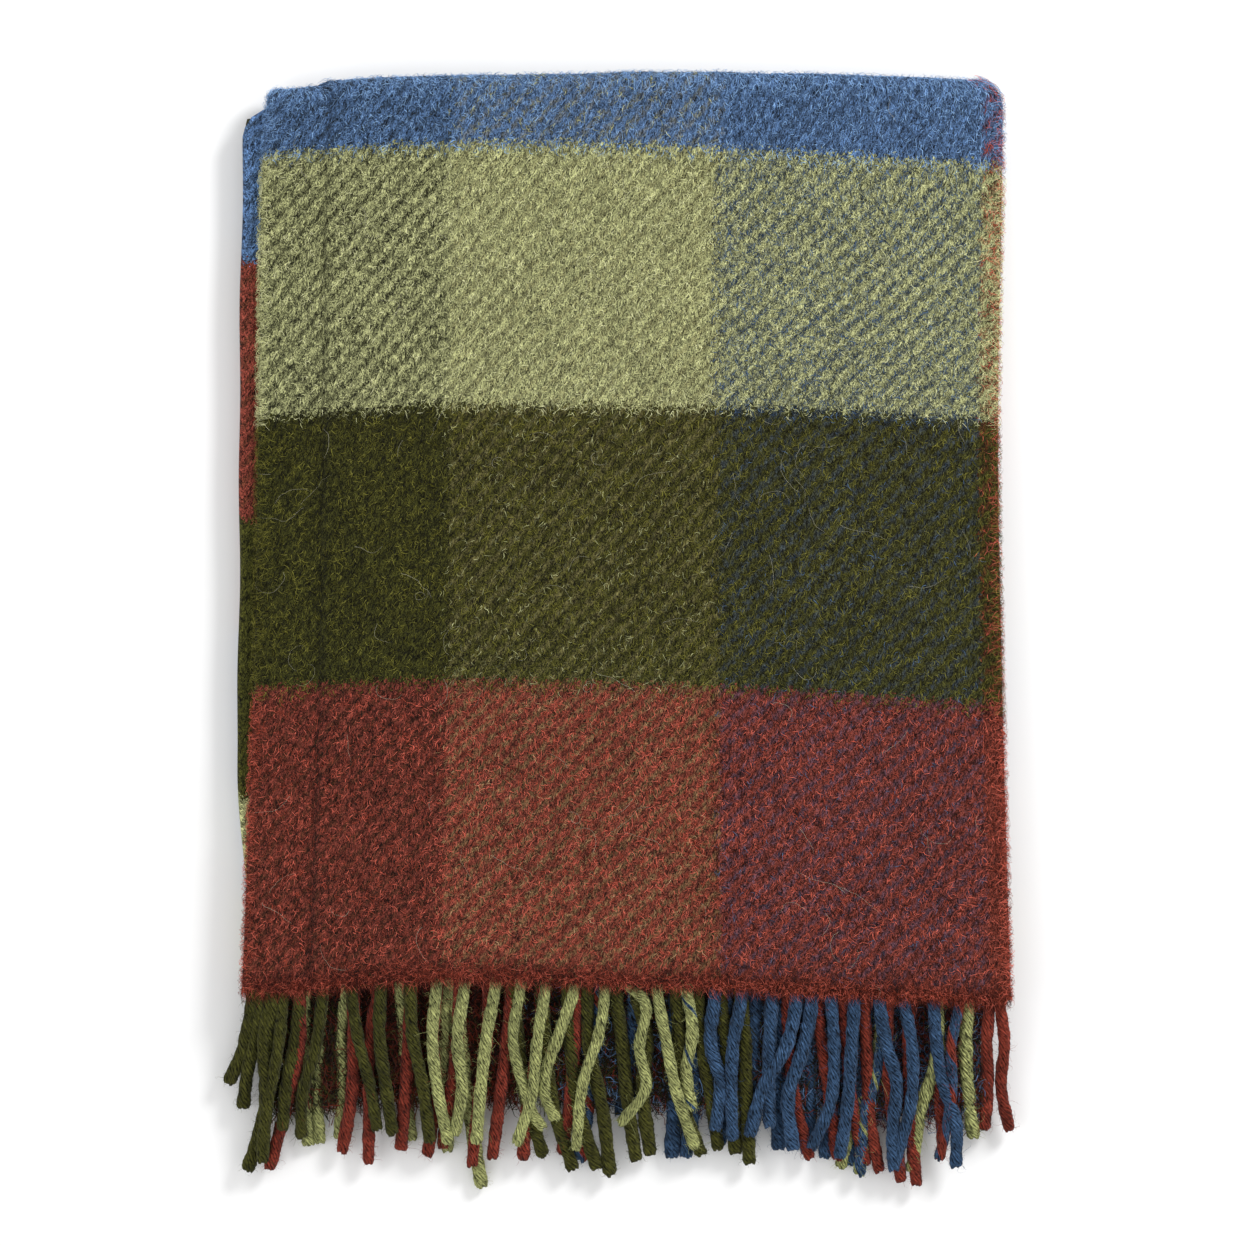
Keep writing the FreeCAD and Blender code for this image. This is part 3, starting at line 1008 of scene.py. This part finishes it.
def curve_through(points, count):
    """Evenly spaced points of a smooth curve through the given ones."""
    points = np.asarray(points, float)
    knots = travelled(points)
    fine = spline(np.linspace(0, knots[-1], 400), knots, points)
    lengths = travelled(fine)
    even = np.linspace(0, lengths[-1], count)
    return np.stack([np.interp(even, lengths, fine[:, k]) for k in range(3)], axis=1), lengths[-1]


def tassel_mesh(path, length, radius, phase, around):
    """A twisted cord along the path: two yarn groups of several strands, with a blunt end."""
    count = len(path)
    tangent = unit(np.gradient(path, axis=0))
    aside = unit(np.cross(tangent, np.array([0, 0, 1.0])))
    over = np.cross(aside, tangent)
    s = np.linspace(0, length, count)
    theta = np.arange(around) / around
    twist = (s / TWIST)[:, None] + theta[None] + phase
    lobes = 1 - GROOVE * (1 - np.abs(np.cos(math.pi * STRANDS * theta)))
    waist = 1 - WAIST * np.abs(np.cos(math.tau * theta)) ** 6
    swelling = ROOT_THIN + (1 - ROOT_THIN) * smooth(s / ROOT_LENGTH)
    swelling = swelling * (1 + 0.05 * np.sin(s * 230 + phase * 9) + 0.04 * np.sin(s * 610))
    end = np.clip((length - s) / (0.5 * radius), 0, 1)
    swelling = swelling * (TIP_SHARE + (1 - TIP_SHARE) * np.sqrt(1 - (1 - end) ** 2))
    r = radius * (lobes * waist)[None] * swelling[:, None]
    turn = math.tau * twist
    ring = path[:, None] + r[..., None] * (
        aside[:, None] * np.cos(turn)[..., None] + over[:, None] * np.sin(turn)[..., None]
    )
    ragged = random.uniform(-0.0010, 0.0016, STRANDS)[np.arange(around) * STRANDS // around]
    ring[-1] += tangent[-1] * ragged[:, None]
    vertices = np.concatenate([ring.reshape(-1, 3), path[:1], path[-1:]])
    index = np.arange(count * around).reshape(count, around)
    after = np.roll(index, -1, axis=1)
    quads = np.stack([after[:-1], after[1:], index[1:], index[:-1]], axis=-1).reshape(-1, 4)
    first, last = count * around, count * around + 1
    root = np.stack([after[0], index[0], np.full(around, first)], axis=-1)
    tip = np.stack([index[-1], after[-1], np.full(around, last)], axis=-1)
    here = np.stack(np.broadcast_arrays(theta[None], s[:, None]), axis=-1)
    beside = here + (1 / around, 0)
    sides = np.stack([beside[:-1], beside[1:], here[1:], here[:-1]], axis=2).reshape(-1, 2)
    caps = []
    for pair, height in (((beside[0], here[0]), 0), ((here[-1], beside[-1]), length)):
        middle = np.stack([theta + 0.5 / around, np.full(around, height)], axis=-1)
        caps.append(np.stack([*pair, middle], axis=1).reshape(-1, 2))
    return vertices, quads, np.concatenate([root, tip]), sides, np.concatenate(caps)


# Loose fibres of the front fringe: how many on each tassel, their radius, and where they stay.
FUZZ = 360
FUZZ_RADIUS = 0.00010
LOWEST, HIGHEST = 0.0006, 0.042
FUZZ_UV = (0.0, 0.01)


def tassel_fuzz(path, radius, count, lengths):
    """Fibres that stand off a tassel."""
    at = random.integers(2, len(path) - 1, count)
    side = random.uniform(0, math.tau, count)
    normal = np.stack([np.cos(side), 0 * side, np.sin(side)], axis=1)
    root = path[at] + normal * radius * 0.75
    length = random.uniform(*lengths, count)
    along = random.normal(0, 1, (count, 3)) * (0.5, 1.2, 0.35)
    along = unit(along) + normal * 0.25
    steps = np.linspace(0, 1, 4)[None, :, None]
    wave = random.normal(0, 0.45, (count, 1, 3)) * np.sin(steps * 3)
    paths = root[:, None] + (along[:, None] * steps + wave) * length[:, None, None]
    paths[..., 2] = np.clip(paths[..., 2], LOWEST, HIGHEST)
    return paths


def build_group(name, tassels, materials, fuzz, around, rings):
    """A group of tassels as one mesh. Each tassel is its path's points, its radius, and how many
    of its strands have the second material."""
    vertices, quads, triangles, start = [], [], [], 0
    side_uv, cap_uv, seconds, hairs = [], [], [], []
    for points, radius, others in tassels:
        path, length = curve_through(points, rings)
        made = tassel_mesh(path, length, radius, random.random(), around)
        vertices.append(made[0])
        quads.append(made[1] + start)
        triangles.append(made[2] + start)
        side_uv.append(made[3])
        cap_uv.append(made[4])
        strand = np.arange(around) * STRANDS // around
        seconds.append(np.tile(strand < others, rings - 1))
        start += len(made[0])
        if fuzz:
            hairs.append(tassel_fuzz(path, radius, fuzz, (0.0015, 0.0045)))
            hairs.append(tassel_fuzz(path, radius, fuzz // 8, (0.004, 0.009)))
            hairs.append(tassel_fuzz(path[-7:], radius * 0.9, fuzz // 6, (0.002, 0.004)))
    if hairs:
        hairs = np.concatenate(hairs)
        extra, faces = fibre_bundle(hairs, np.full(len(hairs), FUZZ_RADIUS))
        vertices.append(extra)
        quads.append(faces[0] + start)
        triangles.append(faces[1] + start)
        seconds.append(np.zeros(len(faces[0]), bool))
        side_uv.append(np.tile(FUZZ_UV, (faces[0].size, 1)))
        cap_uv.append(np.tile(FUZZ_UV, (faces[1].size, 1)))
    vertices = np.concatenate(vertices)
    quads, triangles = np.concatenate(quads), np.concatenate(triangles)
    thing, corners = mesh_object(name, vertices, [quads, triangles], materials)
    add_uv(thing, "yarn", np.arange(len(corners)), np.concatenate(side_uv + cap_uv))
    which = np.concatenate([np.concatenate(seconds), np.zeros(len(triangles), bool)])
    if which.any():
        thing.data.polygons.foreach_set("material_index", which.astype(np.int32))
    return thing


# The tassels of each layer in their order across the cloth: colour and how many.
STRIPES = {
    "left_flap": [("light_green", 4), ("blue", 10), ("red", 10), ("dark_green", 3)],
    "face": [("dark_green", 7), ("light_green", 10), ("blue", 10), ("red", 1)],
    "right_flap": [("red", 9), ("dark_green", 10), ("light_green", 6)],
}
# The last tassel of these stripes has this many of its strands in another colour.
SHARED = {
    ("face", "light_green"): (1, "blue"),
    ("face", "red"): (6, "blue"),
    ("left_flap", "light_green"): (9, "blue"),
    ("left_flap", "blue"): (2, "red"),
}

# The top row of the front fringe, in millimetres: the way of each tassel from its root, then how
# far it rides up over its neighbours. The first of each way lies under the cloth's edge.
TOP_ROW = [
    ([(-230, -234), (-234, -271), (-232, -306), (-235, -347)], 1.0),
    ([(-221, -236), (-224, -272), (-231, -308), (-236, -340)], 5.0),
    ([(-210, -234), (-214, -272), (-219, -296), (-222, -326)], 0.0),
    ([(-196, -233), (-200, -272), (-209, -304), (-210, -331)], 3.0),
    ([(-177, -231), (-173, -265), (-165, -299), (-161, -326)], 2.0),
    ([(-158, -230), (-159, -265), (-155, -299), (-151, -329)], 2.0),
    ([(-139, -229), (-138, -262), (-131, -299), (-127, -334)], 2.0),
    ([(-122, -226), (-125, -267), (-122, -299), (-115, -335)], 3.0),
    ([(-104, -227), (-109, -270), (-106, -299), (-111, -329)], 2.0),
    ([(-84, -226), (-90, -264), (-94, -299), (-97, -334)], 3.0),
    ([(-68, -227), (-73, -271), (-67, -296), (-58, -320), (-54, -325)], 0.5),
    ([(-52, -226), (-58, -271), (-61, -302), (-71, -335)], 6.0),
    ([(-33, -228), (-43, -262), (-52, -288), (-53, -302), (-46, -320)], 1.5),
    ([(-14, -230), (-19, -267), (-27, -290), (-33, -339)], 4.0),
    ([(-1, -229), (11, -242), (8, -273), (12, -299), (-4, -322)], 5.0),
    ([(19, -230), (25, -267), (32, -302), (44, -338)], 4.0),
    ([(38, -231), (42, -264), (38, -288), (42, -313)], 2.0),
    ([(57, -232), (54, -272), (60, -294), (57, -326)], 1.0),
    ([(74, -233), (68, -272), (67, -299), (68, -332)], 3.0),
    ([(93, -233), (92, -262), (91, -294), (92, -324)], 0.5),
    ([(109, -234), (102, -272), (88, -298), (79, -330)], 5.0),
    ([(119, -236), (112, -277), (104, -302), (107, -339)], 1.0),
    ([(131, -237), (133, -277), (131, -308), (119, -338)], 3.0),
    ([(146, -238), (144, -272), (142, -308), (137, -344)], 4.0),
    ([(162, -239), (167, -272), (173, -294), (171, -326), (172, -352)], 2.0),
    ([(178, -240), (183, -272), (183, -304), (172, -350)], 4.0),
    ([(197, -240), (199, -272), (204, -299), (211, -318), (212, -350)], 3.0),
    ([(214, -238), (208, -272), (209, -300), (206, -322), (201, -345)], 4.0),
]
# Where the tips of the hidden tassels lie, in millimetres, in their order in each layer.
TIPS_BELOW = {
    "left_flap": [
        (224, -332), (184, -353), (138, -352), (150, -356),
        (146, -350), (128, -345), (116, -342), (98, -340), (78, -338),
        (60, -336), (38, -344), (29, -345), (-4, -318), (-30, -347),
        (-42, -342), (-67, -345), (-87, -345), (-100, -350), (-119, -338),
        (-129, -344), (-146, -340), (-167, -348), (-184, -341), (-231, -352),
        (-245, -353), (-248, -313), (-257, -296),
    ],
    "right_flap": [
        (247, -327), (231, -326), (204, -336), (187, -362), (177, -360),
        (163, -354), (154, -349), (136, -346), (118, -345),
        (79, -348), (70, -342), (59, -339), (48, -343), (15, -342),
        (6, -347), (-11, -356), (-19, -352), (-35, -352), (-54, -344),
        (-116, -341), (-94, -364), (-140, -334), (-186, -333), (-199, -336), (-206, -337),
    ],
}  # fmt: skip
# How far a hidden root is from its tip towards its own place across the cloth, the roots whose
# place is seen, and the place that none is left of.
ROOT_SHARE = 0.45
ROOTS_BELOW = {("left_flap", 0): 0.218, ("right_flap", 1): 0.232}
LEFTMOST = -0.232
# How far the layers' tassels are set off from each other, in shares of the pitch.
STAGGER = {"face": 0, "right_flap": 1 / 3, "left_flap": 2 / 3}
# Height of one tassel riding over another. Left of LOW_LEFT the top row starts a row lower.
RIDE_UP = 0.0007
LOW_LEFT = -0.192
MM = 0.001


def slot_x(slot, layer, shift):
    """Where a tassel's own place is across the leaf."""
    return shift - LEAF_WIDTH / 2 + TASSEL_MARGIN + (slot + STAGGER[layer]) * TASSEL_PITCH


def hidden_way(layer, order, slot):
    """The way of a tassel of a flap in the plane, from its root to the tip that shows."""
    tip = MM * np.array(TIPS_BELOW[layer][order], float)
    x = tip[0] + (slot_x(slot, layer, LEAF_SHIFT) - tip[0]) * ROOT_SHARE
    x = ROOTS_BELOW.get((layer, order), max(x, LEFTMOST))
    edge = lie_front(np.array([x]), np.array([FRONT_EDGE]))
    root = np.array([float(edge[0][0]), float(edge[1][0]) + 0.002])
    shares = np.array([0, 0.34, 0.67, 1.0])[:, None]
    way = root + (tip - root) * shares
    way[:, 0] += (tip[0] - root[0]) * (shares[:, 0] ** 1.6 - shares[:, 0])
    way[1:3, 0] += random.normal(0, 0.0022, 2)
    return way


def front_tassel(layer, colour, order, slot):
    """The way of one front tassel in metres, and its radius."""
    row = UPPER_ONES.get((layer, order), ROW_OF.get((layer, colour), 0))
    top, low = ROW_HEIGHTS[row]
    if row == 0:
        way, lift = TOP_ROW[order]
        way = MM * np.array(way, float)
        lift *= RIDE_UP
        if way[0][0] < LOW_LEFT:
            top = ROW_HEIGHTS[1][0]
    else:
        way, lift = hidden_way(layer, order, slot), 0.0
    share = travelled(way)
    share /= share[-1]
    z = top + (low - top) * share**1.15 + lift * np.sin(math.pi * np.minimum(share * 1.25, 1))
    z[0] -= 0.0008
    inside = [way[0][0], way[0][1] + 0.009, top - 0.0016]
    points = np.vstack([inside, np.column_stack([way, z])])
    radius = WIDTHS[colour] * random.uniform(0.94, 1.07) * (1 if row == 0 else 1.12)
    return points, radius


# Fibres hanging between the front tassels, loose fluff painted in the darkest tones for the shade
# between the rows: how many in each of two pieces, and how far down.
VEIL = 11500
VEIL_DEPTH = 0.090
# Their colours: up to this x, how many are dark green, red and blue.
VEIL_NAMES = ("dark_green", "red", "blue")
VEIL_COLOURS = [
    (-0.185, (0.70, 0.30, 0.0)),
    (-0.055, (0.22, 0.78, 0.0)),
    (0.075, (0.55, 0.25, 0.20)),
    (0.170, (0.35, 0.25, 0.40)),
    (0.240, (0.20, 0.55, 0.25)),
]
CELL = 0.0005
TASSEL_CELLS = 6


def gaps(ways):
    """Places between the front tassels near their roots, and how likely a fibre is at each."""
    x, y = np.arange(-0.233, 0.231, CELL), np.arange(-0.36, -0.22, CELL)
    covered = np.zeros((len(x), len(y)), bool)
    reach = np.arange(-TASSEL_CELLS, TASSEL_CELLS + 1)
    disc = np.array([(i, j) for i in reach for j in reach if i * i + j * j <= TASSEL_CELLS**2])
    for way in ways:
        cells = ((way[:, :2] - (x[0], y[0])) / CELL).astype(int)
        marks = (cells[:, None] + disc[None]).reshape(-1, 2)
        marks = marks[((marks >= 0) & (marks < covered.shape)).all(axis=1)]
        covered[marks[:, 0], marks[:, 1]] = True
    edge = lie_front(x, np.full(len(x), FRONT_EDGE))[1]
    depth = edge[:, None] - y[None]
    chance = ~covered * (depth > 0) * smooth((VEIL_DEPTH - depth) / 0.025)
    places = np.stack(np.meshgrid(x, y, indexing="ij"), axis=-1).reshape(-1, 2)
    return places, chance.ravel() / chance.sum()


def veil(name, ways):
    """Fibres hanging between the tassels, in the two darkest tones: painted shade for the shade of
    the rows in front of them.
    """
    places, chance = gaps(ways)
    x, y = places[random.choice(len(places), VEIL, p=chance)].T
    edge = lie_front(x, np.full(VEIL, FRONT_EDGE))[1]
    offsets = curl(VEIL, (0.007, 0.017), 4, 1.5, math.pi / 2, 0.6)
    offsets -= offsets.mean(axis=1, keepdims=True)
    paths = np.empty((VEIL, 4, 3))
    paths[..., 0] = x[:, None] + offsets[..., 0]
    paths[..., 1] = np.minimum(y[:, None] + offsets[..., 1], edge[:, None] + 0.002)
    sag = np.clip((edge[:, None] - paths[..., 1]) / 0.115, 0, 1)
    level = random.uniform(0.012, 0.025, VEIL)[:, None] - 0.010 * sag
    paths[..., 2] = level + random.normal(0, 0.0007, (VEIL, 4))
    near = x + random.normal(0, 0.015, VEIL)
    ends, shares = zip(*VEIL_COLOURS)
    shares = np.array(shares)[np.clip(np.searchsorted(ends, near), 0, len(ends) - 1)]
    colour = (random.random(VEIL)[:, None] > shares.cumsum(axis=1)[:, :2]).sum(axis=1)
    # Painted shade: only the two darkest tones, the darkest mostly near the roots.
    tones = 2 * colour + (random.random(VEIL) < 0.30 + 0.5 * sag[:, 0])
    shades = [fibres[name][tone] for name in VEIL_NAMES for tone in (0, 1)]
    parts = paths, random.uniform(0.00024, 0.00044, VEIL), tones
    return nap_object(name, parts, shades, "front_fringe")


BACK_HEIGHTS = {"face": 0.0073, "right_flap": 0.0054, "left_flap": 0.0036}
BACK_RADIUS = 0.0030


def back_tassel(layer, slot):
    """The way of one back tassel, pressed flat between the leaves."""
    height = BACK_HEIGHTS[layer]
    x = slot_x(slot, layer, -LEAF_SHIFT) + random.uniform(-0.0015, 0.0015)
    tip = x + random.normal(0, 0.003)
    y = BACK_EDGE - 0.004
    length = random.uniform(0.104, 0.115)
    middle = x + random.normal(0, 0.001)
    points = [(x, y, height), (middle, y + length * 0.4, height), (tip, y + length, height)]
    return np.array(points), BACK_RADIUS


def row_slots(layer):
    """Each tassel's place across the leaf, counted from the left. Those of a flap run backwards."""
    count = sum(number for _, number in STRIPES[layer])
    return list(range(count)) if layer == "face" else [26 - i for i in range(count)]


# ---------------------------------------------------------------- the whole blanket

# What the tones of the cloth's texture are multiplied by, without fibres over it and with them. The
# lower gain under the fibres is painted shade in the gaps between them.
OPEN_GAIN = 1.8
UNDER_NAP_GAIN = 1.25

add_camera()
add_light()
add_floor()

wool = checked_wool("checked_wool", OPEN_GAIN)
napped_wool = checked_wool("checked_wool_under_nap", UNDER_NAP_GAIN)
fibres = {name: fibre_shades(name, colour, FIBRE_TONES[name]) for name, colour in NAP.items()}
pale = fibre_wool("pale_hair", (0.50, 0.48, 0.36))
felted = {}
for name, share in FELTED.items():
    mixed = np.array(NAP[name]) * share + np.array(NAP["light_green"]) * (1 - share)
    felted[name] = fibre_shades(f"felted_{name}", mixed, FIBRE_TONES["light_green"])
yarns = {name: yarn_wool(f"{name}_yarn", colour) for name, colour in TASSELS.items()}

cloths = {
    "front_leaf": cloth_mesh("front_leaf", WEFT_PITCH, napped_wool),
    "middle_leaf": cloth_mesh("middle_leaf", SHUT_PITCH, wool),
    "back_leaf": cloth_mesh("back_leaf", SHUT_PITCH, wool),
}
for leaf, cloth in cloths.items():
    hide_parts(*[f"{leaf}_{part}" for part in ("face", "left_flap", "right_flap")])
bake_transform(cloths["front_leaf"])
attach(cloths["middle_leaf"], "middle_leaf")
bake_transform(cloths["back_leaf"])

for check in face_checks():
    weft, warp = check[:2]
    mixed = warp == "light_green" and weft in FELTED
    shades = [*fibres[weft], *(felted[weft] if mixed else fibres[warp])]
    nap_object(f"nap_{weft}_over_{warp}", check_nap(*check), shades)
every_shade = [shade for tones in fibres.values() for shade in tones]
nap_object("edge_nap", edge_nap(), every_shade)
nap_object("cut_nap", cut_nap(), every_shade)
nap_object("stray_hairs", stray_hairs(), [pale])

fringes = {"front": [], "back": []}
ways = []
for layer, stripes in STRIPES.items():
    slots = row_slots(layer)
    order = 0
    for colour, number in stripes:
        front, back = [], []
        extra, second = SHARED.get((layer, colour), (0, colour))
        for k in range(number):
            slot = slots[order]
            others = extra if k == number - 1 else 0
            points, radius = front_tassel(layer, colour, order, slot)
            front.append((points, radius, others))
            ways.append(curve_through(points, 90)[0])
            points, radius = back_tassel(layer, slot)
            back.append((points, radius, others))
            order += 1
        materials = [yarns[colour], yarns[second]] if extra else [yarns[colour]]
        for end, tassels, fineness, fuzz in (
            ("front", front, FRONT_FINE, FUZZ),
            ("back", back, BACK_FINE, 0),
        ):
            name = f"{end}_tassels_{layer}_{colour}"
            group = build_group(name, tassels, materials, fuzz, **fineness)
            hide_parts(f"{end}_fringe_{layer}_{colour}")
            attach(group, "front_fringe" if end == "front" else "back_leaf")
            fringes[end].append(group)

fringes["front"] += [veil("fringe_veil_1", ways), veil("fringe_veil_2", ways)]
